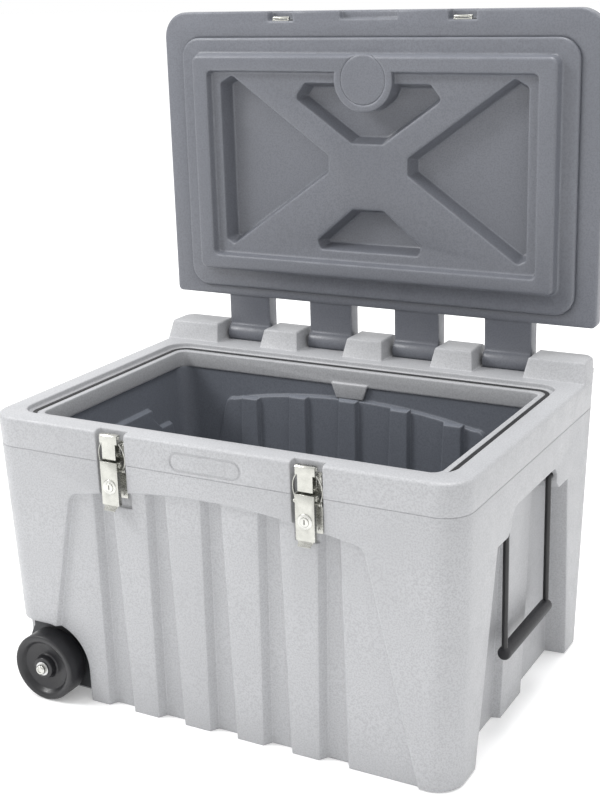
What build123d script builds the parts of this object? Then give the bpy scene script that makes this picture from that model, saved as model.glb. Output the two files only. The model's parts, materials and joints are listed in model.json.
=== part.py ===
from build123d import *
import math
import os

os.makedirs("parts", exist_ok=True)

# Millimetres. X runs along the front, -Y is the front with the latches, +Y the hinge side, Z is up.
# The origin is on the ground, under the middle of the tub.

# Tub
TUB_W = 770.0
TUB_D = 565.0
TUB_H = 455.0
SIDE_DRAFT = 16.0
FACE_DRAFT = 8.0
CORNER_R = 42.0
SKIN = 6.0
CAVITY_TOP = 436.0
BOTTOM_EDGE_R = 5.0
RIM_EDGE_R = 6.0

# Ribbed panel on the front and the back
PANEL_DEPTH = 8.0
PANEL_TAPER = 30.0
PANEL_HALF_TOP = 246.0
PANEL_HALF_BOTTOM = 318.0
PANEL_SHOULDER_Z = 335.0
PANEL_ARCH_END_X = 222.0
PANEL_ARCH_END_Z = 351.0
PANEL_ARCH_MID_Z = 375.0
PANEL_CORNER_R = 22.0
GROOVE_DEPTH = 21.0
GROOVE_TAPER = 32.0
GROOVE_COUNT = 5
GROOVE_PITCH_TOP = 93.5
GROOVE_PITCH_BOTTOM = 91.5
GROOVE_HALF_TOP = 17.8
GROOVE_HALF_BOTTOM = 24.5
BELOW = 30.0

# Stepped recess on each end
RECESS_DEPTH = 34.0
RECESS_TAPER = 6.0
RECESS_HALF_TOP = 148.0
RECESS_HALF_BOTTOM = 196.0
RECESS_SHOULDER_Z = 322.0
RECESS_SHOULDER_RUN = 12.0
RECESS_MID_HALF = 96.0
RECESS_MID_Z = 360.0
RIB_HALF = 48.0
RIB_HEIGHT = 13.0
RIB_RUN_OUT = 390.0
RIB_TAPER = 20.0

# Rim, from the outside in: flat top, ledge, gasket groove, lip, opening
LEDGE_X = 352.0
LEDGE_FRONT = -250.0
LEDGE_BACK = 190.0
LEDGE_R = 34.0
LEDGE_DEPTH = 8.0
GROOVE_OUT = 8.0
GASKET_W = 6.4
GASKET_SEAT = 5.0
GASKET_PROUD = 1.1
GASKET_R = 26.0
OPEN_X = 328.0
OPEN_FRONT = -227.0
OPEN_BACK = 166.0
OPEN_R = 16.0
SKIRT_BOTTOM = 420.0
TAB_TOP_HALF = 33.0
TAB_BOTTOM_HALF = 24.0
TAB_DROP = 21.0
TAB_THICK = 4.0
TAB_SET = 0.5
PARTING_Z = 408.0
PARTING_W = 1.2
PARTING_DEPTH = 0.6
BADGE_Z = 427.0
BADGE_W = 118.0
BADGE_H = 30.0
BADGE_LINE = 4.0
BADGE_DEPTH = 1.2

# Liner
LINER_FLOOR = 80.0
LINER_WALL = 5.0
LINER_TOP_X = 331.0
LINER_TOP_FRONT = -230.0
LINER_TOP_BACK = 169.0
LINER_LOW_X = 306.0
LINER_LOW_FRONT = -208.0
LINER_LOW_BACK = 152.0
LINER_R = 26.0
LINER_PANEL = 7.0
LINER_RIB = 8.0
LINER_BOSS = 9.0
LINER_FORM_UP = 30.0
LINER_FORM_GAP = 4.0
LINER_FORM_TAPER = 20.0
LINER_BOSS_IN = 14.0
LINER_BOSS_Y = 25.5

# Hinge
HINGE_Y = 262.0
HINGE_Z = 464.0
HINGE_ROD_R = 4.0
HINGE_RUN = 0.08
LUG_TOP = 486.0
LUG_FRONT = 209.0
LUG_FRONT_TOP = 221.0
LUG_BACK = 282.4
LUG_PITCH = 160.0
LUG_HALF = 37.0
LUG_SLANT = 6.0
OUTER_LUG_X = 282.0
LID_LUG_HALF = 39.5
LID_LUG_R = 18.0
LUG_POCKET_R = 20.0
LID_LUG_TOP = 482.0
LID_LUG_UNDER = 457.0
LUG_EDGE_R = 4.0

# Lid, drawn closed and then swung open about the hinge
LID_BACK = 192.5
LID_FRONT = -289.0
LID_FLANGE_T = 24.0
LID_TOP = 497.0
LID_TOP_INSET = 20.0
LID_TOP_CHAMFER = 9.0
CROWN_SPACE_INSET = 5.0
CROWN_SPACE_BACK = 156.0
LID_CORNER_R = 42.0
LID_HINGE_CORNER_R = 8.0
LID_EDGE_R = 5.0
LID_SKIN = 4.0
LID_ROOF = 5.0
SEAL_STEP = 6.6
SEAL_STEP_X = 350.0
SEAL_STEP_FRONT = -247.5
SEAL_STEP_BACK = 176.0
SEAL_STEP_R = 34.0
PLUG_DEPTH = 24.0
PLUG_X = 325.0
PLUG_FRONT = -224.0
PLUG_BACK = 146.0
PLUG_TAPER = 12.0
PLUG_R = 16.0
PANEL_X = 293.0
PANEL_FRONT = -196.0
PANEL_BACK = 118.0
PANEL_R = 10.0
BRACE_UP = 11.0
POCKET_UP = 29.0
POCKET_EDGE_R = 8.0
POCKET_TAPER = 16.0
PANEL_WALL_TAPER = 18.0
CAP_R = 39.5
CAP_Y = -183.0
CAP_T = 9.0
PAD_R = 51.0
CAP_GAP = 0.3
LID_OPEN = -90.0

# Latches
LATCH_X = 160.0
POCKET_HALF = 25.0
POCKET_FLOOR = -267.5
POCKET_BOTTOM = 338.0
PLATE_T = 2.0
BASE_HALF = 17.0
BASE_LOW = 352.0
BASE_HIGH = 440.0
PIVOT_Y = -281.0
PIVOT_Z = 407.0
PIN_R = 2.0
PIN_RUN = 0.06
PIN_REACH = 30.0
EAR_HALF_Z = 5.0
LEVER_HALF = 14.6
LEVER_LOW = 346.0
LEVER_HIGH = 412.0
LEVER_FRONT = -289.0
LEVER_T = 1.8
LIP_DROP = 7.0
LIP_OUT = 5.0
CROSS_Y = -278.0
CROSS_Z = 398.0
CROSS_HALF = 22.0
WIRE_R = 1.1
WIRE_X = 18.7
WIRE_BOW = 22.2
HEAD_LOW = 438.0
HEAD_HIGH = 452.0
HEAD_HALF = 15.0
HEAD_FRONT = -286.0
HEAD_BACK = -276.0
TONGUE_HALF = 11.5
TONGUE_FRONT = -286.0
TONGUE_T = 1.4
TONGUE_LOW = 415.0
BRIDGE_HALF = 12.0
BRIDGE_LOW = 419.5
BRIDGE_HIGH = 436.0
BRIDGE_FRONT = -274.6
LOCK_R = 10.0
LOCK_Z = 374.0
LOCK_PROUD = 4.0
KEYWAY_W = 1.6
KEYWAY_L = 7.0
SCREW_R = 2.2
SCREW_LOW_X = 11.0
SCREW_HIGH_X = 14.7
SCREW_HEAD = 1.4

# Keepers in the lid's front edge
NOTCH_HALF = 24.0
NOTCH_DEPTH = 15.5
KEEPER_HALF = 15.0
KEEPER_T = 2.0
KEEPER_BAR_R = 2.0
FINGER_HALF = 51.0
FINGER_DEPTH = 13.0
FINGER_HEIGHT = 12.0

# End handles
BAIL_X = 370.0
BAIL_Z = 345.0
BAIL_HALF = 88.0
BAIL_R = 4.5
BAIL_RUN = 0.08
STUB_LEN = 16.0
BAIL_BEND_R = 7.0
GRIP_OVER = 12.0
GRIP_END_R = 4.0
BAIL_BOSS = (30.0, 40.0, 30.0)
BAIL_BOSS_OUT = 14.0
GRIP_Z = 133.0
GRIP_R = 10.0
GRIP_HALF = 82.0

# Wheels
WHEEL_X = -308.0
WHEEL_R = 54.0
WHEEL_FACE = -297.0
WHEEL_W = 40.0
WHEEL_WEB = 14.0
AXLE_R = 6.0
AXLE_RUN = 0.06
HUB_R = 17.0
WELL_R = 68.0
WELL_BACK = -238.0
WELL_PLATE = 3.0
NUT_R = 8.0
NUT_T = 7.0
WASHER_R = 11.0
WASHER_T = 1.5
WHEEL_GAP = 0.4
BUSHING_T = 3.0
WHEEL_LIP = 10.0
WHEEL_DISH = 9.0
TREAD_R = 4.0
NUT_EDGE_R = 2.0
NUT_DIMPLE_R = 3.6
NUT_DIMPLE = 1.5
WELL_PLATE_LOW = 4.0
WELL_PLATE_END = 21.0
WELL_PLATE_GAP = 0.3
EPS = 0.01


def rect_solid(x, front, back, radius, low, high):
    face = RectangleRounded(2 * x, back - front, radius)
    return extrude(Pos(0, (front + back) / 2, low) * face, amount=high - low)


def box_between(x0, x1, y0, y1, z0, z1):
    size = Box(x1 - x0, y1 - y0, z1 - z0)
    return Pos((x0 + x1) / 2, (y0 + y1) / 2, (z0 + z1) / 2) * size


def rod(p0, p1, radius):
    a = Vector(*p0)
    b = Vector(*p1)
    plane = Plane(origin=a, z_dir=b - a)
    return extrude(plane * Circle(radius), amount=(b - a).length)


def yz_solid(points, x0, x1):
    wire = Polyline(*[(x0, y, z) for y, z in points], close=True)
    return extrude(make_face(wire), amount=x1 - x0, dir=(1, 0, 0))


def face_plane(side):
    # Lies on the drafted front (side -1) or back (side +1) face, local y upwards.
    normal = Vector(0, side * TUB_H, -FACE_DRAFT)
    return Plane(origin=(0, side * (TUB_D / 2 - FACE_DRAFT), 0), x_dir=(-side, 0, 0), z_dir=normal)


def end_plane(side):
    normal = Vector(side * TUB_H, 0, -SIDE_DRAFT)
    return Plane(origin=(side * (TUB_W / 2 - SIDE_DRAFT), 0, 0), x_dir=(0, side, 0), z_dir=normal)


def cut_below(plane, face, start, end, taper):
    # A pocket cutter from `start` above the plane to `end` below it.
    return extrude(plane.offset(start) * face, amount=-(end + start), taper=taper)


def panel_face(grow):
    low = -BELOW
    slope = (PANEL_HALF_BOTTOM - PANEL_HALF_TOP) / PANEL_SHOULDER_Z
    foot = PANEL_HALF_BOTTOM + slope * BELOW
    shoulder = (PANEL_HALF_TOP, PANEL_SHOULDER_Z)
    arch_end = (PANEL_ARCH_END_X, PANEL_ARCH_END_Z)
    right = Polyline((foot, low), shoulder)
    left = Polyline((-foot, low), (-shoulder[0], shoulder[1]))
    bend_r = ThreePointArc(shoulder, (PANEL_HALF_TOP - 8, PANEL_ARCH_END_Z - 4), arch_end)
    bend_l = ThreePointArc((-shoulder[0], shoulder[1]), (8 - PANEL_HALF_TOP, PANEL_ARCH_END_Z - 4),
                           (-arch_end[0], arch_end[1]))
    arch = ThreePointArc(arch_end, (0, PANEL_ARCH_MID_Z), (-arch_end[0], arch_end[1]))
    base = Line((-foot, low), (foot, low))
    face = make_face([right, bend_r, arch, bend_l, left, base])
    if grow:
        face = offset(face, amount=grow, kind=Kind.INTERSECTION)
    return face


def arch_height(x):
    rise = PANEL_ARCH_MID_Z - PANEL_ARCH_END_Z
    radius = (PANEL_ARCH_END_X ** 2 + rise ** 2) / (2 * rise)
    return PANEL_ARCH_MID_Z - radius + math.sqrt(radius ** 2 - x ** 2)


def groove_face(index, grow):
    top = index * GROOVE_PITCH_TOP
    foot = index * GROOVE_PITCH_BOTTOM
    slope = (GROOVE_HALF_BOTTOM - GROOVE_HALF_TOP) / PANEL_ARCH_MID_Z
    half_low = GROOVE_HALF_BOTTOM + slope * BELOW
    high = arch_height(top) - 2.0
    wire = Polyline((foot - half_low, -BELOW), (foot + half_low, -BELOW),
                    (top + GROOVE_HALF_TOP, high), (top - GROOVE_HALF_TOP, high), close=True)
    face = make_face(wire)
    if grow:
        face = offset(face, amount=grow, kind=Kind.INTERSECTION)
    return face


def panel_cuts(side, grow):
    plane = face_plane(side)
    cuts = [cut_below(plane, panel_face(grow), 0.0, PANEL_DEPTH + grow, PANEL_TAPER)]
    first = -(GROOVE_COUNT // 2)
    for index in range(first, first + GROOVE_COUNT):
        mouth = plane.offset(0.5 - PANEL_DEPTH)
        amount = -(GROOVE_DEPTH + grow - PANEL_DEPTH + 0.5)
        cuts.append(extrude(mouth * groove_face(index, grow), amount=amount, taper=GROOVE_TAPER))
    return cuts


def recess_face(grow):
    slope = (RECESS_HALF_BOTTOM - RECESS_HALF_TOP) / RECESS_SHOULDER_Z
    foot = RECESS_HALF_BOTTOM + slope * BELOW
    run = RECESS_SHOULDER_RUN
    right = [(foot, -BELOW), (RECESS_HALF_TOP, RECESS_SHOULDER_Z), (RECESS_MID_HALF + run, RECESS_SHOULDER_Z),
             (RECESS_MID_HALF, RECESS_SHOULDER_Z + run), (RECESS_MID_HALF, RECESS_MID_Z - run),
             (RECESS_MID_HALF - run, RECESS_MID_Z)]
    left = [(-y, z) for y, z in reversed(right)]
    face = make_face(Polyline(*(right + left), close=True))
    if grow:
        face = offset(face, amount=grow, kind=Kind.INTERSECTION)
    return face


def recess_cut(side, grow):
    plane = end_plane(side)
    cut = cut_below(plane, recess_face(grow), 0.0, RECESS_DEPTH + grow, RECESS_TAPER)
    wire = Polyline((-RIB_HALF, -BELOW - grow), (RIB_HALF, -BELOW - grow),
                    (RIB_HALF, RIB_RUN_OUT), (-RIB_HALF, RIB_RUN_OUT), close=True)
    face = make_face(wire)
    if grow:
        face = offset(face, amount=-grow / 2, kind=Kind.INTERSECTION)
    floor = plane.offset(-(RECESS_DEPTH + grow + 1))
    rib = extrude(floor * face, amount=RIB_HEIGHT + 1, taper=RIB_TAPER)
    return cut - rib


def well_cut(side, grow):
    radius = WELL_R + grow
    depth = side * (abs(WELL_BACK) - grow)
    outer = side * (TUB_D / 2 + BELOW)
    y0 = min(depth, outer)
    y1 = max(depth, outer)
    wheel_z = WHEEL_R
    cut = rod((WHEEL_X, y0, wheel_z), (WHEEL_X, y1, wheel_z), radius)
    cut += box_between(-TUB_W / 2 - BELOW, WHEEL_X, y0, y1, -BELOW, wheel_z + radius)
    cut += box_between(WHEEL_X - EPS, WHEEL_X + radius, y0, y1, -BELOW, wheel_z)
    return cut


def tub_block(grow):
    low = grow
    high = TUB_H if grow == 0 else CAVITY_TOP
    slope_x = SIDE_DRAFT / TUB_H
    slope_y = FACE_DRAFT / TUB_H
    faces = []
    for z in (low, high):
        width = TUB_W - 2 * (SIDE_DRAFT - slope_x * z + grow)
        depth = TUB_D - 2 * (FACE_DRAFT - slope_y * z + grow)
        faces.append(Pos(0, 0, z) * RectangleRounded(width, depth, CORNER_R - grow))
    return loft(faces, ruled=True)


def tub_form(grow):
    form = tub_block(grow)
    if grow == 0:
        form = fillet(form.edges().group_by(Axis.Z)[0], BOTTOM_EDGE_R)
        form = fillet(form.edges().group_by(Axis.Z)[-1], RIM_EDGE_R)
    for side in (-1, 1):
        for cut in panel_cuts(side, grow):
            form -= cut
        form -= recess_cut(side, grow)
        form -= well_cut(side, grow)
    return form


def latch_pocket(x, grow):
    half = POCKET_HALF + grow
    return box_between(x - half, x + half, -TUB_D, POCKET_FLOOR + grow, POCKET_BOTTOM - grow, TUB_H + 1)


def badge_recess():
    # A blank stadium frame between the latches.
    plane = face_plane(-1)
    outer = SlotOverall(BADGE_W, BADGE_H)
    inner = SlotOverall(BADGE_W - 2 * BADGE_LINE, BADGE_H - 2 * BADGE_LINE)
    ring = Pos(0, BADGE_Z, 0) * (outer - inner)
    return extrude(plane.offset(1) * ring, amount=-1 - BADGE_DEPTH)


def parting_line():
    # The line left by the mould, all round the tub.
    slab = box_between(-TUB_W, TUB_W, -TUB_D, TUB_D, PARTING_Z - PARTING_W / 2, PARTING_Z + PARTING_W / 2)
    return slab - tub_block(PARTING_DEPTH)


def rim_tab():
    wire = Polyline((-TAB_TOP_HALF, 0, SKIRT_BOTTOM + 4), (TAB_TOP_HALF, 0, SKIRT_BOTTOM + 4),
                    (TAB_BOTTOM_HALF, 0, SKIRT_BOTTOM - TAB_DROP), (-TAB_BOTTOM_HALF, 0, SKIRT_BOTTOM - TAB_DROP),
                    close=True)
    tab = extrude(make_face(wire), amount=TAB_THICK, dir=(0, -1, 0))
    return Pos(0, OPEN_BACK + TAB_SET, 0) * tab


def body_lugs():
    lugs = []
    spans = [(k * LUG_PITCH - LUG_HALF, k * LUG_PITCH + LUG_HALF) for k in (-1, 0, 1)]
    spans += [(-TUB_W / 2, -OUTER_LUG_X), (OUTER_LUG_X, TUB_W / 2)]
    base = TUB_H - 3
    points = [(LUG_FRONT, base), (LUG_FRONT_TOP, LUG_TOP), (LUG_BACK - 10, LUG_TOP), (LUG_BACK, LUG_TOP - 10),
              (LUG_BACK, base)]
    plan = rect_solid(TUB_W / 2 - 0.1, -TUB_D / 2, LUG_BACK, CORNER_R, base, LUG_TOP + 1)
    for x0, x1 in spans:
        low0 = (x0, 0, base)
        low1 = (x1, 0, base)
        high0 = (x0 + LUG_SLANT, 0, LUG_TOP + 1)
        high1 = (x1 - LUG_SLANT, 0, LUG_TOP + 1)
        wedge = extrude(make_face(Polyline(low0, low1, high1, high0, close=True)), amount=TUB_D, dir=(0, 1, 0))
        lug = yz_solid(points, x0, x1) & plan & wedge
        lug = fillet(lug.edges().group_by(Axis.Z)[-1], LUG_EDGE_R)
        lugs.append(lug)
    return lugs


def lug_centres():
    return [LUG_PITCH * (k + 0.5) for k in (-2, -1, 0, 1)]


def rim_cuts():
    ledge = rect_solid(LEDGE_X, LEDGE_FRONT, LEDGE_BACK, LEDGE_R, TUB_H - LEDGE_DEPTH, TUB_H + 1)
    opening = rect_solid(OPEN_X, OPEN_FRONT, OPEN_BACK, OPEN_R, SKIRT_BOTTOM - 1, TUB_H + 1)
    return [ledge, opening, gasket_ring(TUB_H - LEDGE_DEPTH - GASKET_SEAT, TUB_H)]


def gasket_ring(low, high):
    x = LEDGE_X - GROOVE_OUT
    front = LEDGE_FRONT + GROOVE_OUT
    back = LEDGE_BACK - GROOVE_OUT
    outer = rect_solid(x, front, back, GASKET_R, low, high)
    w = GASKET_W
    inner = rect_solid(x - w, front + w, back - w, GASKET_R - w, low - 1, high + 1)
    return outer - inner


def skirt_block(grow):
    return rect_solid(OPEN_X + grow, OPEN_FRONT - grow, OPEN_BACK + grow, OPEN_R + grow,
                      SKIRT_BOTTOM, TUB_H - LEDGE_DEPTH - GASKET_SEAT - 1)


def handle_bores():
    bores = []
    for side in (-1, 1):
        for hand in (-1, 1):
            y0 = hand * (RECESS_MID_HALF - 4)
            y1 = hand * (BAIL_HALF + STUB_LEN + 3)
            bores.append(rod((side * BAIL_X, y0, BAIL_Z), (side * BAIL_X, y1, BAIL_Z), BAIL_R + BAIL_RUN))
    return bores


def axle_bore(radius):
    return rod((WHEEL_X, -TUB_D / 2, WHEEL_R), (WHEEL_X, TUB_D / 2, WHEEL_R), radius)


def axle_tube():
    y = abs(WELL_BACK)
    return rod((WHEEL_X, -y, WHEEL_R), (WHEEL_X, y, WHEEL_R), AXLE_R + SKIN)


def foam_space():
    space = tub_form(SKIN)
    for x in (-LATCH_X, LATCH_X):
        space -= latch_pocket(x, SKIN)
    for side in (-1, 1):
        for hand in (-1, 1):
            y = hand * (RECESS_MID_HALF + BAIL_BOSS_OUT)
            space -= Pos(side * BAIL_X, y, BAIL_Z) * Box(*BAIL_BOSS)
    space -= axle_tube()
    return space - skirt_block(SKIN)


def outer_shell(space):
    shell = tub_form(0)
    for x in (-LATCH_X, LATCH_X):
        shell -= latch_pocket(x, 0)
    shell -= space
    for lug in body_lugs():
        shell += lug
    shell -= liner_block(0)
    for cut in rim_cuts():
        shell -= cut
    shell += rim_tab()
    for x in lug_centres():
        half = LID_LUG_HALF + 2.0
        shell -= rod((x - half, HINGE_Y, HINGE_Z), (x + half, HINGE_Y, HINGE_Z), LUG_POCKET_R)
        shell -= box_between(x - half, x + half, HINGE_Y, TUB_D, HINGE_Z - LUG_POCKET_R, LUG_TOP + 1)
    shell -= rod((-TUB_W, HINGE_Y, HINGE_Z), (TUB_W, HINGE_Y, HINGE_Z), HINGE_ROD_R)
    for bore in handle_bores():
        shell -= bore
    shell -= axle_bore(AXLE_R)
    return shell - badge_recess() - parting_line()


def liner_block(inset):
    # inset 0 is the outside of the liner, LINER_WALL the cavity.
    faces = []
    wall = LINER_WALL - inset
    rows = ((LINER_FLOOR - wall, LINER_LOW_X, LINER_LOW_FRONT, LINER_LOW_BACK),
            (SKIRT_BOTTOM, LINER_TOP_X, LINER_TOP_FRONT, LINER_TOP_BACK))
    for z, x, front, back in rows:
        face = RectangleRounded(2 * (x + wall), back - front + 2 * wall, LINER_R + wall)
        faces.append(Pos(0, (front + back) / 2, z) * face)
    return loft(faces, ruled=True)


def wall_panel(side):
    # The inside of the ribbed panel: a raised arch with ribs between the outside grooves.
    back = LINER_TOP_BACK if side > 0 else LINER_TOP_FRONT
    low = LINER_LOW_BACK if side > 0 else LINER_LOW_FRONT
    rise = SKIRT_BOTTOM - LINER_FLOOR
    lean = (abs(back) - abs(low)) / rise
    origin = (0, side * (abs(low) - lean * LINER_FLOOR), 0)
    plane = Plane(origin=origin, x_dir=(-side, 0, 0), z_dir=Vector(0, side, -lean))
    arch = Pos(0, LINER_FORM_UP, 0) * panel_face(-LINER_FORM_GAP)
    pad = extrude(plane.offset(LINER_WALL) * arch, amount=-(LINER_WALL + LINER_PANEL), taper=LINER_FORM_TAPER)
    solids = [pad]
    first = -(GROOVE_COUNT // 2)
    for index in range(first, first + GROOVE_COUNT):
        mouth = plane.offset(-LINER_PANEL + 1)
        rib = Pos(0, LINER_FORM_UP - LINER_FORM_GAP, 0) * groove_face(index, 0)
        solids.append(extrude(mouth * rib, amount=-(LINER_RIB + 1), taper=LINER_FORM_TAPER))
    return solids


def inner_liner():
    cavity = liner_block(LINER_WALL)
    bosses = []
    for side in (-1, 1):
        bosses += wall_panel(side)
        lean = (LINER_TOP_X - LINER_LOW_X) / (SKIRT_BOTTOM - LINER_FLOOR)
        origin = (side * (LINER_LOW_X - lean * LINER_FLOOR), 0, 0)
        plane = Plane(origin=origin, x_dir=(0, side, 0), z_dir=Vector(side, 0, -lean))
        form = offset(recess_face(0), amount=-LINER_BOSS_IN, kind=Kind.INTERSECTION)
        face = Pos(-side * LINER_BOSS_Y, LINER_FORM_UP, 0) * form
        mouth = plane.offset(LINER_WALL) * face
        bosses.append(extrude(mouth, amount=-(LINER_WALL + LINER_BOSS), taper=LINER_FORM_TAPER))
    for boss in bosses:
        cavity -= boss
    return liner_block(0) - cavity


def axle():
    half = abs(WHEEL_FACE) + WASHER_T
    return rod((WHEEL_X, -half, WHEEL_R), (WHEEL_X, half, WHEEL_R), AXLE_R)


def wheel(side):
    # Revolved about the axle: tread, dished web and projecting hub.
    inner = WHEEL_W
    bore = AXLE_R + BUSHING_T
    lip = WHEEL_R - WHEEL_LIP
    dish = WHEEL_DISH
    points = [(bore, 0), (HUB_R, 0), (HUB_R + 2, 11), (lip - 6, dish), (lip, 1), (WHEEL_R - 3, 0),
              (WHEEL_R, TREAD_R), (WHEEL_R, inner - TREAD_R), (WHEEL_R - 3, inner), (lip, inner - 1),
              (lip - 4, dish + WHEEL_WEB), (HUB_R + 3, dish + WHEEL_WEB), (HUB_R, inner), (bore, inner)]
    wire = Polyline(*[(r, 0, y) for r, y in points], close=True)
    solid = revolve(make_face(wire), axis=Axis.Z)
    turned = Rot(-90, 0, 0) * solid if side < 0 else Rot(90, 0, 0) * solid
    return Pos(WHEEL_X, side * abs(WHEEL_FACE), WHEEL_R) * turned


def wheel_bushing(side):
    y0 = side * abs(WHEEL_FACE)
    y1 = side * (abs(WHEEL_FACE) - WHEEL_W)
    outer = rod((WHEEL_X, y0, WHEEL_R), (WHEEL_X, y1, WHEEL_R), AXLE_R + BUSHING_T)
    inner = rod((WHEEL_X, y0 + side, WHEEL_R), (WHEEL_X, y1 - side, WHEEL_R), AXLE_R + AXLE_RUN)
    return outer - inner


def axle_nut(side):
    y0 = side * (abs(WHEEL_FACE) + WHEEL_GAP + WASHER_T)
    nut = rod((WHEEL_X, y0, WHEEL_R), (WHEEL_X, y0 + side * NUT_T, WHEEL_R), NUT_R)
    outer_face = nut.faces().sort_by(Axis.Y)[-1 if side > 0 else 0]
    nut = fillet(outer_face.edges(), NUT_EDGE_R)
    low = y0 + side * (NUT_T - NUT_DIMPLE)
    dimple = rod((WHEEL_X, low, WHEEL_R), (WHEEL_X, y0 + side * (NUT_T + 1), WHEEL_R), NUT_DIMPLE_R)
    return nut - dimple - rod((WHEEL_X, y0, WHEEL_R), (WHEEL_X, y0 + side * 0.01, WHEEL_R), AXLE_R)


def washer(side):
    y0 = side * (abs(WHEEL_FACE) + WHEEL_GAP)
    ring = rod((WHEEL_X, y0, WHEEL_R), (WHEEL_X, y0 + side * WASHER_T, WHEEL_R), WASHER_R)
    return ring - rod((WHEEL_X, y0 - side, WHEEL_R), (WHEEL_X, y0 + side * 3, WHEEL_R), AXLE_R)


def spacer(side):
    y0 = side * (abs(WHEEL_FACE) - WHEEL_W - WHEEL_GAP)
    y1 = side * (abs(WELL_BACK) + WELL_PLATE)
    ring = rod((WHEEL_X, y0, WHEEL_R), (WHEEL_X, y1, WHEEL_R), WASHER_R)
    return ring - rod((WHEEL_X, y0 + side, WHEEL_R), (WHEEL_X, y1 - side, WHEEL_R), AXLE_R)


def well_plate(side):
    y0 = min(side * abs(WELL_BACK), side * (abs(WELL_BACK) + WELL_PLATE))
    y1 = y0 + WELL_PLATE
    radius = WELL_R - WELL_PLATE_GAP
    low = WELL_PLATE_LOW
    plate = rod((WHEEL_X, y0, WHEEL_R), (WHEEL_X, y1, WHEEL_R), radius)
    plate += box_between(-TUB_W / 2 + WELL_PLATE_END, WHEEL_X, y0, y1, low, WHEEL_R + radius)
    plate += box_between(WHEEL_X - EPS, WHEEL_X + radius, y0, y1, low, WHEEL_R)
    plate &= box_between(-TUB_W, TUB_W, y0, y1, low, TUB_H)
    return plate - axle_bore(AXLE_R)


def bail(side):
    x = side * BAIL_X
    end = BAIL_HALF + STUB_LEN
    points = [(x, -end, BAIL_Z), (x, -BAIL_HALF, BAIL_Z), (x, -BAIL_HALF, GRIP_Z), (x, BAIL_HALF, GRIP_Z),
              (x, BAIL_HALF, BAIL_Z), (x, end, BAIL_Z)]
    path = FilletPolyline(*points, radius=BAIL_BEND_R)
    start = Plane(origin=points[0], z_dir=(0, 1, 0))
    return sweep(start * Circle(BAIL_R), path=path)


def grip(side):
    x = side * BAIL_X
    half = GRIP_HALF + GRIP_OVER
    bar = rod((x, -half, GRIP_Z), (x, half, GRIP_Z), GRIP_R)
    bar = fillet(bar.edges().filter_by(GeomType.CIRCLE), GRIP_END_R)
    return bar - bail(side)


def latch_base(x):
    back = POCKET_FLOOR
    front = back - PLATE_T
    base = box_between(x - BASE_HALF, x + BASE_HALF, front, back, BASE_LOW, BASE_HIGH)
    for side in (-1, 1):
        x0 = x + side * (BASE_HALF - PLATE_T / 2)
        ear = box_between(x0 - PLATE_T / 2, x0 + PLATE_T / 2, PIVOT_Y, front, PIVOT_Z - EAR_HALF_Z,
                          PIVOT_Z + EAR_HALF_Z)
        ear += rod((x0 - PLATE_T / 2, PIVOT_Y, PIVOT_Z), (x0 + PLATE_T / 2, PIVOT_Y, PIVOT_Z), EAR_HALF_Z)
        base += ear
    base += box_between(x - BRIDGE_HALF, x + BRIDGE_HALF, BRIDGE_FRONT, front, BRIDGE_LOW, BRIDGE_HIGH)
    return base - rod((x - PIN_REACH, PIVOT_Y, PIVOT_Z), (x + PIN_REACH, PIVOT_Y, PIVOT_Z), PIN_R)


def lever_pin(x):
    pin = rod((x - BASE_HALF - 1, PIVOT_Y, PIVOT_Z), (x + BASE_HALF + 1, PIVOT_Y, PIVOT_Z), PIN_R)
    return pin


def base_screws(x):
    heads = []
    y = POCKET_FLOOR - PLATE_T
    for dx, z in ((SCREW_LOW_X, BASE_LOW + 6), (SCREW_HIGH_X, BASE_HIGH - 5)):
        for side in (-1, 1):
            heads.append(rod((x + side * dx, y, z), (x + side * dx, y - SCREW_HEAD, z), SCREW_R))
    return heads


def latch_lever(x):
    plate = box_between(x - LEVER_HALF, x + LEVER_HALF, LEVER_FRONT, LEVER_FRONT + LEVER_T, LEVER_LOW, LEVER_HIGH)
    for side in (-1, 1):
        xo = x + side * LEVER_HALF
        xi = xo - side * LEVER_T
        lo = min(xo, xi)
        hi = max(xo, xi)
        plate += box_between(lo, hi, LEVER_FRONT, -282.0, LEVER_LOW, LEVER_HIGH)
        plate += box_between(lo, hi, LEVER_FRONT, -275.2, CROSS_Z - 3.5, LEVER_HIGH)
    lip = [(LEVER_FRONT, LEVER_LOW), (LEVER_FRONT + LEVER_T, LEVER_LOW), (LEVER_FRONT - LIP_OUT + LEVER_T,
           LEVER_LOW - LIP_DROP), (LEVER_FRONT - LIP_OUT, LEVER_LOW - LIP_DROP)]
    plate += yz_solid(lip, x - 10, x + 10)
    plate -= rod((x - PIN_REACH, PIVOT_Y, PIVOT_Z), (x + PIN_REACH, PIVOT_Y, PIVOT_Z), PIN_R + PIN_RUN)
    plate -= rod((x - PIN_REACH, CROSS_Y, CROSS_Z), (x + PIN_REACH, CROSS_Y, CROSS_Z), PIN_R)
    return plate - rod((x, LEVER_FRONT - 3, LOCK_Z), (x, LEVER_FRONT + 5, LOCK_Z), LOCK_R - 2)


def lock_collar(x):
    ring = rod((x, LEVER_FRONT - 1.6, LOCK_Z), (x, LEVER_FRONT, LOCK_Z), LOCK_R + 1.4)
    ring += rod((x, LEVER_FRONT - 1.6, LOCK_Z), (x, LEVER_FRONT + 6, LOCK_Z), LOCK_R - 2)
    return ring - rod((x, LEVER_FRONT - 3, LOCK_Z), (x, LEVER_FRONT + 9, LOCK_Z), LOCK_R - 3.4)


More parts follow.
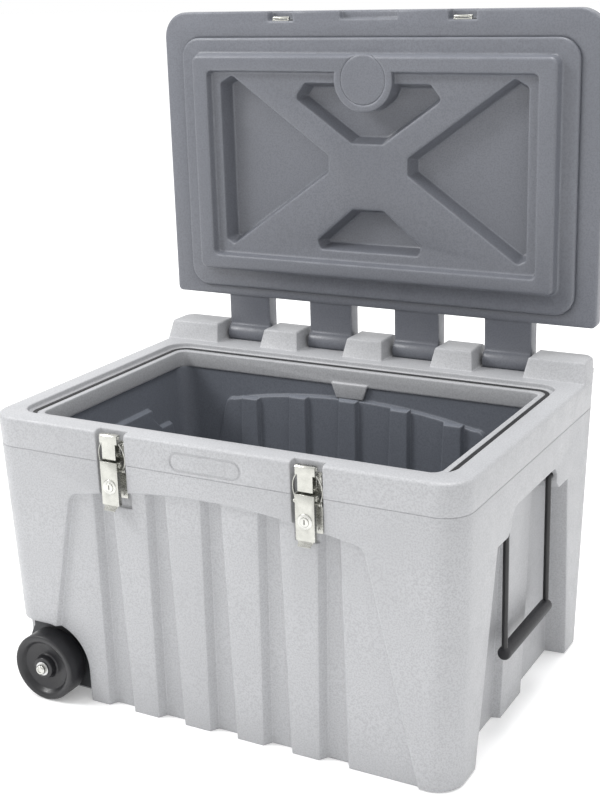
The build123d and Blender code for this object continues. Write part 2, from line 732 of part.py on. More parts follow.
def lock_barrel(x):
    front = LEVER_FRONT - LOCK_PROUD + 1.6
    plug = rod((x, front, LOCK_Z), (x, LEVER_FRONT + 6, LOCK_Z), LOCK_R - 3.46)
    slot = box_between(x - KEYWAY_W / 2, x + KEYWAY_W / 2, front - 1, front + 5, LOCK_Z - KEYWAY_L / 2,
                       LOCK_Z + KEYWAY_L / 2)
    return plug - slot


def cross_pin(x):
    pin = rod((x - CROSS_HALF, CROSS_Y, CROSS_Z), (x + CROSS_HALF, CROSS_Y, CROSS_Z), PIN_R)
    return pin


def hook_wires(x):
    wires = []
    for side in (-1, 1):
        eye = rod((x + side * (WIRE_X - 1.1), CROSS_Y, CROSS_Z), (x + side * (WIRE_X + 1.1), CROSS_Y, CROSS_Z),
                  PIN_R + 1.8)
        points = [(x + side * WIRE_X, CROSS_Y, CROSS_Z + 2.4), (x + side * WIRE_BOW, CROSS_Y - 0.5, 413),
                  (x + side * (WIRE_BOW - 0.6), CROSS_Y - 1.5, 425), (x + side * (HEAD_HALF - 2), CROSS_Y - 3, 440)]
        path = Spline(*points)
        start = Plane(origin=points[0], z_dir=path % 0)
        wire = sweep(start * Circle(WIRE_R), path=path) + eye
        wires.append(wire - rod((x - PIN_REACH, CROSS_Y, CROSS_Z), (x + PIN_REACH, CROSS_Y, CROSS_Z), PIN_R + PIN_RUN))
    return wires


def hook_head(x):
    points = [(HEAD_BACK, HEAD_LOW), (HEAD_BACK, HEAD_LOW + 4), (HEAD_FRONT + 4, HEAD_LOW + 5),
              (HEAD_FRONT + 3, HEAD_HIGH - 3), (HEAD_BACK - 1, HEAD_HIGH - 4), (HEAD_BACK - 1, HEAD_HIGH),
              (HEAD_FRONT + 2, HEAD_HIGH), (HEAD_FRONT, HEAD_HIGH - 2), (HEAD_FRONT, HEAD_LOW + 1),
              (HEAD_FRONT + 1, HEAD_LOW)]
    head = yz_solid(points, x - HEAD_HALF, x + HEAD_HALF)
    head += box_between(x - TONGUE_HALF, x + TONGUE_HALF, TONGUE_FRONT, TONGUE_FRONT + TONGUE_T, TONGUE_LOW, HEAD_LOW + 2)
    for wire in hook_wires(x):
        head -= wire
    return head


def open_lid(solid):
    return solid.rotate(Axis((0, HINGE_Y, HINGE_Z), (1, 0, 0)), LID_OPEN)


def lid_plan(low, high, inset):
    front = LID_FRONT + inset
    back = LID_BACK - inset
    x = TUB_W / 2 - inset
    solid = box_between(-x, x, front, back, low, high)
    corners = solid.edges().filter_by(Axis.Z).group_by(Axis.Y)
    solid = fillet(corners[0], LID_CORNER_R - inset)
    back_edges = solid.edges().filter_by(Axis.Z).group_by(Axis.Y)[-1]
    return fillet(back_edges, LID_HINGE_CORNER_R + inset / 2)


def lid_lug(x):
    lug = box_between(x - LID_LUG_HALF, x + LID_LUG_HALF, LID_BACK - 12, HINGE_Y, LID_LUG_UNDER, LID_LUG_TOP)
    lug += rod((x - LID_LUG_HALF, HINGE_Y, HINGE_Z), (x + LID_LUG_HALF, HINGE_Y, HINGE_Z), LID_LUG_R)
    return lug


def keeper_notch(x):
    front = LID_FRONT - 1
    return box_between(x - NOTCH_HALF, x + NOTCH_HALF, front, LID_FRONT + NOTCH_DEPTH, TUB_H - 1,
                       TUB_H + LID_FLANGE_T - 4)


def finger_notch():
    front = LID_FRONT - 1
    return box_between(-FINGER_HALF, FINGER_HALF, front, LID_FRONT + FINGER_DEPTH, TUB_H - 1,
                       TUB_H + FINGER_HEIGHT)


def lid_top():
    plate = lid_plan(TUB_H, TUB_H + LID_FLANGE_T, 0)
    plate = fillet(plate.edges().group_by(Axis.Z)[-1], LID_EDGE_R)
    crown = lid_plan(TUB_H + LID_FLANGE_T - 2, LID_TOP, LID_TOP_INSET)
    crown = chamfer(crown.edges().group_by(Axis.Z)[-1], LID_TOP_CHAMFER)
    lid = plate + crown
    for x in lug_centres():
        lid += lid_lug(x)
    lid -= lid_hollow()
    for x in (-LATCH_X, LATCH_X):
        lid -= keeper_notch(x)
    lid -= finger_notch()
    hinge = rod((-TUB_W, HINGE_Y, HINGE_Z), (TUB_W, HINGE_Y, HINGE_Z), HINGE_ROD_R + HINGE_RUN)
    return lid - hinge


def lid_hollow():
    # The space inside the lid shell that the underside moulding and the foam fill.
    return lid_space(TUB_H - 1)


def lid_space(low):
    flange_roof = TUB_H + LID_FLANGE_T - LID_ROOF
    flat = rect_solid(SEAL_STEP_X, SEAL_STEP_FRONT, SEAL_STEP_BACK, SEAL_STEP_R, low, flange_roof)
    inset = CROWN_SPACE_INSET
    return flat + rect_solid(SEAL_STEP_X - inset, SEAL_STEP_FRONT + inset, CROWN_SPACE_BACK, SEAL_STEP_R - inset,
                             flange_roof - 1, LID_TOP - LID_ROOF)


def step_and_plug(inset, top):
    # Sealing step that drops onto the ledge, and the plug ring that drops into the opening.
    x = SEAL_STEP_X - inset
    step = rect_solid(x, SEAL_STEP_FRONT + inset, SEAL_STEP_BACK - inset, SEAL_STEP_R - inset,
                      TUB_H - SEAL_STEP + inset, top)
    face = RectangleRounded(2 * (PLUG_X - inset), PLUG_BACK - PLUG_FRONT - 2 * inset, PLUG_R - inset)
    mouth = Pos(0, (PLUG_FRONT + PLUG_BACK) / 2, TUB_H) * face
    plug = extrude(mouth, amount=-(PLUG_DEPTH - inset), taper=PLUG_TAPER)
    if inset == 0:
        step = fillet(step.edges().group_by(Axis.Z)[0], 3.0)
        plug = fillet(plug.edges().group_by(Axis.Z)[0], 4.5)
    return step + plug


def underside_hollows(grow):
    # Shallow panel, deep brace pockets and the cap's seat, cut upwards from below.
    low = TUB_H - PLUG_DEPTH - EPS
    panel = RectangleRounded(2 * (PANEL_X + grow), PANEL_BACK - PANEL_FRONT + 2 * grow, PANEL_R + grow)
    mouth = Pos(0, (PANEL_FRONT + PANEL_BACK) / 2, low) * panel
    hollow = extrude(mouth, amount=PLUG_DEPTH - BRACE_UP + grow, taper=PANEL_WALL_TAPER)
    for face in brace_pockets(grow):
        hollow += extrude(Pos(0, 0, TUB_H - BRACE_UP - 1) * face, amount=POCKET_UP + 1 + grow, taper=POCKET_TAPER)
    hollow -= rod((0, CAP_Y, low - 1), (0, CAP_Y, TUB_H + POCKET_UP), PAD_R - grow)
    seat = rod((0, CAP_Y, low - 1), (0, CAP_Y, low + CAP_T + CAP_GAP + grow), CAP_R + CAP_GAP + grow)
    return hollow + seat


def lid_core():
    # Everything inside the lid that is foam.
    core = step_and_plug(LID_SKIN, TUB_H + LID_SKIN)
    core += lid_space(TUB_H + LID_SKIN)
    return core - underside_hollows(LID_SKIN)


def lid_underside(core):
    body = step_and_plug(0, TUB_H + LID_SKIN)
    body += rect_solid(PANEL_X + 8, PANEL_FRONT - 8, PANEL_BACK + 8, PANEL_R, TUB_H,
                       TUB_H - BRACE_UP + POCKET_UP + LID_SKIN)
    return body - underside_hollows(0) - core


def brace_pockets(grow):
    # Two side triangles, one wide vee under the filler pad and one trapezoid near the hinge.
    side = [(-274, -175), (-250, -188), (-70, -60), (-70, -32), (-258, 100), (-274, 92)]
    mirrored = [(-x, y) for x, y in reversed(side)]
    vee = [(-112, -177), (112, -177), (132, -152), (28, -80), (-28, -80), (-132, -152)]
    trapezoid = [(-28, 26), (28, 26), (96, 82), (90, 98), (-90, 98), (-96, 82)]
    result = []
    for points in (side, mirrored, vee, trapezoid):
        face = make_face(Polyline(*points, close=True))
        face = fillet(face.vertices(), POCKET_EDGE_R)
        if grow:
            face = offset(face, amount=grow)
        result.append(face)
    return result


def filler_cap():
    low = TUB_H - PLUG_DEPTH
    cap = rod((0, CAP_Y, low), (0, CAP_Y, low + CAP_T), CAP_R)
    return fillet(cap.edges().group_by(Axis.Z)[0], 1.2)


def keeper(x):
    wall = LID_FRONT + NOTCH_DEPTH
    low = TUB_H + 1.5
    high = TUB_H + LID_FLANGE_T - 5
    plate = box_between(x - KEEPER_HALF, x + KEEPER_HALF, wall - KEEPER_T, wall, low, high)
    bar_y = wall - 5.0
    plate += rod((x - KEEPER_HALF, bar_y, low + 3), (x + KEEPER_HALF, bar_y, low + 3), KEEPER_BAR_R)
    for side in (-1, 1):
        x0 = x + side * (KEEPER_HALF - 1)
        plate += box_between(x0 - 1, x0 + 1, bar_y, wall - KEEPER_T + EPS, low + 1, low + 6)
    return plate


def keeper_screws(x):
    wall = LID_FRONT + NOTCH_DEPTH - KEEPER_T
    z = TUB_H + LID_FLANGE_T - 9.5
    return [rod((x + dx, wall, z), (x + dx, wall - 1.3, z), SCREW_R) for dx in (-8, 8)]


def save(name, solids):
    shape = solids
    if isinstance(solids, list):
        shape = Compound(children=[Solid(s.solids()[0].wrapped) for s in solids])
    export_step(shape, os.path.join("parts", name + ".step"))
    count = len(shape.solids())
    print(name, count, round(shape.volume / 1000, 2))


def build_tub():
    space = foam_space()
    liner = inner_liner()
    save("outer_shell", outer_shell(space))
    save("body_foam", space - liner_block(0))
    save("inner_liner", liner)
    save("rim_gasket", gasket_ring(TUB_H - LEDGE_DEPTH - GASKET_SEAT, TUB_H - LEDGE_DEPTH + GASKET_PROUD))
    save("hinge_rod", rod((-TUB_W / 2 + 4, HINGE_Y, HINGE_Z), (TUB_W / 2 - 4, HINGE_Y, HINGE_Z), HINGE_ROD_R))


def build_lid():
    core = lid_core()
    save("lid_outer_shell", open_lid(lid_top()))
    save("lid_inner_shell", open_lid(lid_underside(core)))
    save("lid_foam", open_lid(core))
    save("lid_filler_cap", open_lid(filler_cap()))


def build_latch(side, x):
    save("latch_base_" + side, latch_base(x))
    save("latch_base_screws_" + side, base_screws(x))
    save("latch_lever_pin_" + side, lever_pin(x))
    save("latch_lever_" + side, latch_lever(x))
    save("latch_cross_pin_" + side, cross_pin(x))
    save("latch_lock_collar_" + side, lock_collar(x))
    save("latch_lock_barrel_" + side, lock_barrel(x))
    save("latch_hook_" + side, hook_head(x))
    save("latch_hook_wires_" + side, hook_wires(x))
    save("lid_keeper_" + side, open_lid(keeper(x)))
    save("lid_keeper_screws_" + side, [open_lid(s) for s in keeper_screws(x)])


def build_running_gear():
    save("wheel_axle", axle())
    for name, side in (("front", -1), ("back", 1)):
        save("wheel_" + name, wheel(side))
        save("wheel_bushing_" + name, wheel_bushing(side))
        save("wheel_washer_" + name, washer(side))
        save("wheel_spacer_" + name, spacer(side))
        save("axle_nut_" + name, axle_nut(side))
        save("wheel_well_plate_" + name, well_plate(side))
    for name, side in (("left", -1), ("right", 1)):
        save("handle_bail_" + name, bail(side))
        save("handle_grip_" + name, grip(side))


build_tub()
build_lid()
build_latch("left", -LATCH_X)
build_latch("right", LATCH_X)
build_running_gear()
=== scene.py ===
"""Looks for a wheeled cooler box: finishes, latches, wheels, grips and the studio."""

import json
import math

import bpy
from mathutils import Matrix, Vector


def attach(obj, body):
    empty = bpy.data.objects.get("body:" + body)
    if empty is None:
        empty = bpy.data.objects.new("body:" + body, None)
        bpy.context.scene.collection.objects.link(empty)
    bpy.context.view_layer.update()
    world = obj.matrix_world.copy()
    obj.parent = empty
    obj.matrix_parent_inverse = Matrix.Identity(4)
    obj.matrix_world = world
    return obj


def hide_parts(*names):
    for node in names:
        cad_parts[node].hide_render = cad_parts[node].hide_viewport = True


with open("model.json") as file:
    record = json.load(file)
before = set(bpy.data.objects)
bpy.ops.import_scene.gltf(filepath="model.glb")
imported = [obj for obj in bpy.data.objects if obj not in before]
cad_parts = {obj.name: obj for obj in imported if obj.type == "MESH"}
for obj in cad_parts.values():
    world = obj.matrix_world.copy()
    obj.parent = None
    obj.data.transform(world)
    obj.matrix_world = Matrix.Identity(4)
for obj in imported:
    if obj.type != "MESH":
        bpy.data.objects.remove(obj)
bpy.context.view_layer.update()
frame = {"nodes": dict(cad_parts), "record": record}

bl_info = {
    "name": "Cooler box looks",
    "version": (1, 0, 0),
    "blender": (4, 5, 0),
    "location": "View3D > Sidebar > Cooler",
    "description": "Finishes and small parts of a wheeled cooler box",
    "category": "Object",
}


# ---------------------------------------------------------------- selection and mesh helpers

def clear_selection():
    if bpy.context.mode != "OBJECT":
        bpy.ops.object.mode_set(mode="OBJECT")
    bpy.ops.object.select_all(action="DESELECT")


def only(obj):
    clear_selection()
    obj.select_set(True)
    bpy.context.view_layer.objects.active = obj


def all_outward():
    bpy.ops.mesh.select_all(action="SELECT")
    bpy.ops.mesh.remove_doubles(threshold=0.00002)
    bpy.ops.mesh.normals_make_consistent(inside=False)
    bpy.ops.object.mode_set(mode="OBJECT")


def bevel_edges(obj, width, segments=3, angle=30.0):
    mod = obj.modifiers.new("soft edges", "BEVEL")
    mod.width = width
    mod.segments = segments
    mod.limit_method = "ANGLE"
    mod.angle_limit = math.radians(angle)
    mod.use_clamp_overlap = True
    bpy.ops.object.modifier_apply(modifier=mod.name)


def settle(obj, body, material, nodes=(), smooth=35.0):
    """Finishes a piece: place in the mesh, finish, body, and the CAD nodes it stands for."""
    only(obj)
    bpy.ops.object.transform_apply(location=True, rotation=True, scale=True)
    bpy.ops.object.shade_smooth_by_angle(angle=math.radians(smooth))
    obj.data.materials.clear()
    obj.data.materials.append(material)
    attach(obj, body)
    if nodes:
        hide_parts(*nodes)


def traced_profile(name, centre, points):
    """One vertex extruded along the points, relative to the centre, into an open or closed outline."""
    clear_selection()
    bpy.ops.mesh.primitive_plane_add(size=0.002, location=centre)
    obj = bpy.context.object
    obj.name = name
    bpy.ops.object.mode_set(mode="EDIT")
    bpy.ops.mesh.select_mode(type="VERT")
    bpy.ops.mesh.merge(type="CENTER")
    here = Vector((0, 0, 0))
    first = Vector(points[0])
    bpy.ops.transform.translate(value=first - here)
    here = first
    for point in points[1:]:
        there = Vector(point)
        bpy.ops.mesh.extrude_region_move(TRANSFORM_OT_translate={"value": there - here})
        here = there
    return obj


def turned(name, centre, axis, points, steps=64):
    """A solid of revolution about the axis through centre."""
    obj = traced_profile(name, centre, points)
    bpy.ops.mesh.select_all(action="SELECT")
    bpy.ops.mesh.spin(steps=steps, angle=math.tau, center=centre, axis=axis)
    all_outward()
    return obj


# ---------------------------------------------------------------- materials

def node(tree, kind, **values):
    made = tree.nodes.new(kind)
    for key, value in values.items():
        setattr(made, key, value)
    return made


def fresh(name):
    mat = bpy.data.materials.new(name)
    mat.use_nodes = True
    tree = mat.node_tree
    shader = tree.nodes["Principled BSDF"]
    place = node(tree, "ShaderNodeTexCoord")
    return mat, tree, shader, place.outputs["Object"]


def noise(tree, place, scale, detail=4.0, rough=0.55):
    made = node(tree, "ShaderNodeTexNoise")
    made.inputs["Scale"].default_value = scale
    made.inputs["Detail"].default_value = detail
    made.inputs["Roughness"].default_value = rough
    tree.links.new(place, made.inputs["Vector"])
    return made.outputs["Fac"]


def spread(tree, value, low, high, start=0.3, end=0.7):
    made = node(tree, "ShaderNodeMapRange")
    for key, number in (("From Min", start), ("From Max", end), ("To Min", low), ("To Max", high)):
        made.inputs[key].default_value = number
    tree.links.new(value, made.inputs["Value"])
    return made.outputs["Result"]


def mixed(tree, factor, first, second, kind="MIX"):
    made = node(tree, "ShaderNodeMix", data_type="RGBA", blend_type=kind)
    for socket, value in ((made.inputs[0], factor), (made.inputs[6], first), (made.inputs[7], second)):
        if isinstance(value, (int, float)):
            socket.default_value = value
        elif isinstance(value, (tuple, list)):
            socket.default_value = (*value[:3], 1.0)
        else:
            tree.links.new(value, socket)
    return made.outputs[2]


def edge_mask(tree, radius, low=0.02, high=0.35):
    """How far a rounded normal leaves the face's own: 1 on sharp edges, 0 on flats; it places the painted edge
    highlights.
    """
    soft = node(tree, "ShaderNodeBevel", samples=6)
    soft.inputs["Radius"].default_value = radius
    own = node(tree, "ShaderNodeNewGeometry")
    dot = node(tree, "ShaderNodeVectorMath", operation="DOT_PRODUCT")
    tree.links.new(soft.outputs["Normal"], dot.inputs[0])
    tree.links.new(own.outputs["Normal"], dot.inputs[1])
    flip = node(tree, "ShaderNodeMath", operation="SUBTRACT")
    flip.inputs[0].default_value = 1.0
    tree.links.new(dot.outputs["Value"], flip.inputs[1])
    return spread(tree, flip.outputs["Value"], 0.0, 1.0, low, high), soft.outputs["Normal"]


def bumped(tree, shader, height, strength, distance, normal=None):
    made = node(tree, "ShaderNodeBump")
    made.inputs["Strength"].default_value = strength
    made.inputs["Distance"].default_value = distance
    tree.links.new(height, made.inputs["Height"])
    if normal is not None:
        tree.links.new(normal, made.inputs["Normal"])
    tree.links.new(made.outputs["Normal"], shader.inputs["Normal"])


def moulded_plastic(name, colour, rough=0.45, soft=0.0025, grain=420.0, mottle=0.05, edge=0.25, scuff=0.0):
    """Rotomoulded polyethylene: faint mottle, fine skin grain, painted highlights on the edges and a few
    scuffs.
    """
    mat, tree, shader, place = fresh(name)
    wide = spread(tree, noise(tree, place, 5.0, 3.0), 0.0, 1.0)
    fine = noise(tree, place, grain, 3.0)
    middle = noise(tree, place, 38.0, 5.0)
    dark = tuple(c * (1.0 - mottle) for c in colour)
    pale = tuple(min(c * (1.0 + mottle), 1.0) for c in colour)
    tint = mixed(tree, wide, dark, pale)
    tint = mixed(tree, spread(tree, fine, 0.0, 0.8, 0.42, 0.62), tint, tuple(c * 0.80 for c in colour))
    # Painted highlight: sharp edges get a paler colour, patchy by the middle noise, up to `edge`.
    edge_highlight_mask, normal = edge_mask(tree, soft, 0.006, 0.14)
    patchy_edge_highlight = node(tree, "ShaderNodeMath", operation="MULTIPLY")
    tree.links.new(edge_highlight_mask, patchy_edge_highlight.inputs[0])
    tree.links.new(spread(tree, middle, edge * 0.4, edge), patchy_edge_highlight.inputs[1])
    tint = mixed(tree, patchy_edge_highlight.outputs["Value"], tint, tuple(min(c * 1.5 + 0.04, 1.0) for c in colour))
    if scuff:
        marks = spread(tree, noise(tree, place, 22.0, 9.0, 0.72), 0.0, scuff, 0.66, 0.74)
        tint = mixed(tree, marks, tint, tuple(c * 0.72 for c in colour))
    tree.links.new(tint, shader.inputs["Base Color"])
    tree.links.new(spread(tree, middle, rough - 0.06, rough + 0.08), shader.inputs["Roughness"])
    shader.inputs["IOR"].default_value = 1.5
    height = node(tree, "ShaderNodeMath", operation="ADD")
    tree.links.new(fine, height.inputs[0])
    tree.links.new(spread(tree, noise(tree, place, 70.0, 2.0), 0.0, 1.6), height.inputs[1])
    bumped(tree, shader, height.outputs["Value"], 0.22, 0.0004, normal)
    return mat


def worked_metal(name, colour, rough=0.22, brush=(30.0, 30.0, 900.0), soft=0.0006):
    """Bright plated steel: brushing along one way, darker in patches, painted highlights at the edges."""
    mat, tree, shader, place = fresh(name)
    turn = node(tree, "ShaderNodeMapping")
    turn.inputs["Scale"].default_value = brush
    tree.links.new(place, turn.inputs["Vector"])
    lines = noise(tree, turn.outputs["Vector"], 6.0, 3.0)
    patches = noise(tree, place, 90.0, 5.0)
    tint = mixed(tree, spread(tree, patches, 0.0, 0.45), colour, tuple(c * 0.6 for c in colour))
    # Painted highlight: sharp edges get a lighter base colour, which brightens their reflections.
    edge_highlight_mask, normal = edge_mask(tree, soft)
    tint = mixed(tree, edge_highlight_mask, tint, tuple(min(c * 1.7, 1.0) for c in colour))
    tree.links.new(tint, shader.inputs["Base Color"])
    shader.inputs["Metallic"].default_value = 1.0
    tree.links.new(spread(tree, lines, rough - 0.07, rough + 0.14), shader.inputs["Roughness"])
    bumped(tree, shader, lines, 0.12, 0.0002, normal)
    return mat


def black_rubber(name, colour, rough=0.7, grain=500.0, band=0.0, soft=0.001):
    mat, tree, shader, place = fresh(name)
    dust = spread(tree, noise(tree, place, 14.0, 7.0, 0.65), 0.0, 0.5, 0.45, 0.8)
    fine = noise(tree, place, grain, 4.0)
    tint = mixed(tree, dust, colour, tuple(c * 1.6 + 0.012 for c in colour))
    # Painted highlight: sharp edges get a lighter colour.
    edge_highlight_mask, normal = edge_mask(tree, soft)
    tint = mixed(tree, edge_highlight_mask, tint, tuple(c * 2.2 + 0.02 for c in colour))
    tree.links.new(tint, shader.inputs["Base Color"])
    tree.links.new(spread(tree, fine, rough - 0.1, rough + 0.1), shader.inputs["Roughness"])
    bumped(tree, shader, fine, 0.3, 0.0003, normal)
    return mat


FINISH = {}


def make_finishes(colours):
    FINISH["shell"] = moulded_plastic("light grey moulded shell",
                                      colours.shell, 0.42, 0.004, edge=0.55, scuff=0.3)
    FINISH["lid"] = moulded_plastic("slate grey moulded lid",
                                    colours.lid, 0.34, 0.006, edge=0.75, scuff=0.2)
    FINISH["liner"] = moulded_plastic("dark moulded liner",
                                      colours.liner, 0.38, 0.004, edge=0.35)
    FINISH["foam"] = moulded_plastic("cream rigid foam",
                                     (0.86, 0.80, 0.58), 0.85, 0.001, 260.0, 0.1)
    FINISH["gasket"] = black_rubber("black seal rubber", (0.012, 0.012, 0.013), 0.55)
    FINISH["latch"] = worked_metal("bright plated latch steel", (0.50, 0.50, 0.465), 0.24)
    FINISH["lock"] = worked_metal("polished lock steel",
                                  (0.60, 0.60, 0.57), 0.16, (60.0, 60.0, 60.0))
    FINISH["rod"] = worked_metal("drawn steel rod",
                                 (0.60, 0.60, 0.60), 0.3, (900.0, 30.0, 30.0))
    FINISH["bail"] = black_rubber("black coated bail", (0.009, 0.009, 0.010), 0.4, 300.0)
    FINISH["grip"] = black_rubber("black grip sleeve", (0.014, 0.014, 0.017), 0.55, 600.0)
    FINISH["wheel"] = black_rubber("black moulded wheel",
                                   (0.009, 0.009, 0.011), 0.38, 350.0, soft=0.002)
    FINISH["well"] = moulded_plastic("dark well plate", (0.045, 0.047, 0.052), 0.6, 0.001)
    FINISH["bushing"] = black_rubber("grey nylon bushing", (0.05, 0.05, 0.05), 0.5)


SLOT_FINISH = {
    "shell_plastic": "shell", "lid_plastic": "lid", "liner_plastic": "liner", "foam": "foam",
    "gasket_rubber": "gasket", "steel_rod": "rod", "latch_steel": "latch", "lock_steel": "lock",
    "bail_black": "bail", "grip_rubber": "grip", "wheel_plastic": "wheel", "well_plastic": "well",
    "bushing_plastic": "bushing",
}


class CoolerColours(bpy.types.PropertyGroup):
    shell: bpy.props.FloatVectorProperty(name="Shell", description="Colour of the tub's moulding",
                                         subtype="COLOR", size=3, default=(0.385, 0.389, 0.402))
    lid: bpy.props.FloatVectorProperty(name="Lid", description="Colour of the lid's moulding",
                                       subtype="COLOR", size=3, default=(0.140, 0.147, 0.168))
    liner: bpy.props.FloatVectorProperty(name="Liner", description="Colour of the inner liner",
                                         subtype="COLOR", size=3, default=(0.135, 0.146, 0.170))


class CoolerStudio(bpy.types.PropertyGroup):
    lens: bpy.props.FloatProperty(name="Lens", description="Focal length in millimetres", default=64.0)
    key_power: bpy.props.FloatProperty(name="Key light", description="Power of the big soft light",
                                       default=84.0, unit="POWER")
    fill_power: bpy.props.FloatProperty(name="Top light", description="Power of the soft light overhead",
                                        default=72.0, unit="POWER")
    sky: bpy.props.FloatProperty(name="Sky", description="Strength of the plain surround", default=1.0)


class COOLER_OT_finishes(bpy.types.Operator):
    """Gives every CAD node the finish of its material slot"""
    bl_idname = "cooler.finishes"
    bl_label = "Finishes"

    def execute(self, context):
        make_finishes(context.scene.cooler_colours)
        for part in frame["record"]["subparts"]:
            obj = frame["nodes"][part["node"]]
            obj.data.materials.clear()
            obj.data.materials.append(FINISH[SLOT_FINISH[part["material_slot"]]])
        return {"FINISHED"}


# ---------------------------------------------------------------- pieces

MM = 1000
MERGE_GAP = 0.000004
FLAT_ANGLE = 0.6
MOULD_ROUND = 0.0022
WHEEL_AT = (-0.308, 0.0, 0.054)
WHEEL_FACE = 0.297
NUT_FACE = 0.3059
LATCH_X = 0.160
LEVER_FRONT = -0.289
LOCK_Z = 0.374
CROSS_AT = (-0.278, 0.398)
GRIP_X = 0.370
GRIP_Z = 0.133
SCREW_FACE = -0.2695
TONGUE_FRONT = -0.2884
RIVET_AT = (-0.281, 0.4475)
HEAD_RADIUS = 0.0022


def softened(node_name, width, finish, body, segments=2, angle=30.0, smooth=40.0):
    """A merged copy of a CAD node, bevelled as far as overlap clamping allows, standing for the node.

    Clamping cuts the width to microns on meshes with short edges, such as the shells.
    """
    source = frame["nodes"][node_name]
    twin = bpy.data.objects.new(node_name + "_soft", source.data.copy())
    bpy.context.collection.objects.link(twin)
    twin.matrix_world = source.matrix_world.copy()
    only(twin)
    bpy.ops.object.mode_set(mode="EDIT")
    bpy.ops.mesh.select_all(action="SELECT")
    bpy.ops.mesh.remove_doubles(threshold=MERGE_GAP)
    bpy.ops.mesh.dissolve_limited(angle_limit=math.radians(FLAT_ANGLE))
    bpy.ops.mesh.normals_make_consistent(inside=False)
    bpy.ops.object.mode_set(mode="OBJECT")
    if width:
        bevel_edges(twin, width, segments, angle)
    settle(twin, body, FINISH[finish], (node_name,), smooth)
    return twin


def dome_profile(radius, height, recess=0.0):
    """Rim, dome and a driver recess, as (radius, height) pairs from the seat to the middle."""
    points = [(radius, 0.0), (radius, height * 0.35), (radius * 0.9, height * 0.68),
              (radius * 0.7, height * 0.9)]
    if recess:
        return points + [(radius * 0.46, height), (radius * 0.4, height - recess), (0.0, height - recess)]
    return points + [(radius * 0.4, height), (0.0, height)]


def head(name, seat, axis, radius, height, recess=0.0, steps=24):
    """A domed head turned about the axis (0 for X, 1 for Y), standing out of the seat along `height`."""
    side = 1 - axis
    points = [(0.0, 0.0)] + dome_profile(radius, abs(height), recess)
    placed = []
    for r, h in points:
        point = [0.0, 0.0, 0.0]
        point[axis] = math.copysign(h, height)
        point[side] = r
        placed.append(point)
    spin_axis = (1, 0, 0) if axis == 0 else (0, 1, 0)
    return turned(name, seat, spin_axis, placed, steps)


def joined(parts, name):
    clear_selection()
    for part in parts:
        part.select_set(True)
    bpy.context.view_layer.objects.active = parts[0]
    bpy.ops.object.join()
    parts[0].name = name
    return parts[0]


def wheel_profile(side):
    rows = [(9, 0), (14.5, 0), (16.4, 0.6), (17.2, 2.2), (18.6, 9.6), (20.4, 11.2), (31, 10.4), (38.5, 8.4),
            (42.2, 3.6), (44.4, 1.3), (48, 0.2), (51.2, 0.3), (53.2, 1.6), (54, 4), (54, 36), (53.2, 38.4),
            (51.2, 39.7), (46, 40),
            (43.6, 38.4), (40.6, 26), (38, 23.2), (21, 23), (18.6, 25), (17, 38.6), (15.6, 40), (9, 40), (9, 0)]
    return [(r / MM, -side * y / MM, 0) for r, y in rows]


class COOLER_OT_wheels(bpy.types.Operator):
    """Turns both wheels with dished webs, and their domed cap nuts"""
    bl_idname = "cooler.wheels"
    bl_label = "Wheels"

    def execute(self, context):
        for side, end in ((-1, "front"), (1, "back")):
            centre = (WHEEL_AT[0], side * WHEEL_FACE, WHEEL_AT[2])
            wheel = turned(f"wheel_{end}_turned", centre, (0, 1, 0), wheel_profile(side), 96)
            settle(wheel, f"wheel_unit_{end}", FINISH["wheel"], (f"wheel_{end}",), 30.0)
            rows = [(0, 1.6), (3.2, 1.6), (3.9, 0.2), (4.6, 0), (6.2, 0.5), (7.4, 1.8), (8, 3.6), (8, 7),
                    (0, 7)]
            points = [(r / MM, -side * y / MM, 0) for r, y in rows]
            nut = turned(f"cap_nut_{end}", (centre[0], side * NUT_FACE, centre[2]), (0, 1, 0), points, 40)
            settle(nut, "cooler_body", FINISH["lock"], (f"axle_nut_{end}",))
        return {"FINISHED"}


class COOLER_OT_handles(bpy.types.Operator):
    """Rounded grip sleeves and smooth bails on the ends"""
    bl_idname = "cooler.handles"
    bl_label = "End handles"

    def execute(self, context):
        for side, end in ((-1, "left"), (1, "right")):
            rows = [(0, -94), (6, -94), (8.6, -93), (9.8, -90.4), (10, -87), (10, 87), (9.8, 90.4), (8.6, 93),
                    (6, 94), (0, 94)]
            points = [(r / MM, y / MM, 0) for r, y in rows]
            grip = turned(f"grip_sleeve_{end}", (side * GRIP_X, 0, GRIP_Z), (0, 1, 0), points, 40)
            settle(grip, f"handle_{end}", FINISH["grip"], (f"handle_grip_{end}",))
            softened(f"handle_bail_{end}", 0.0, "bail", f"handle_{end}")
        return {"FINISHED"}


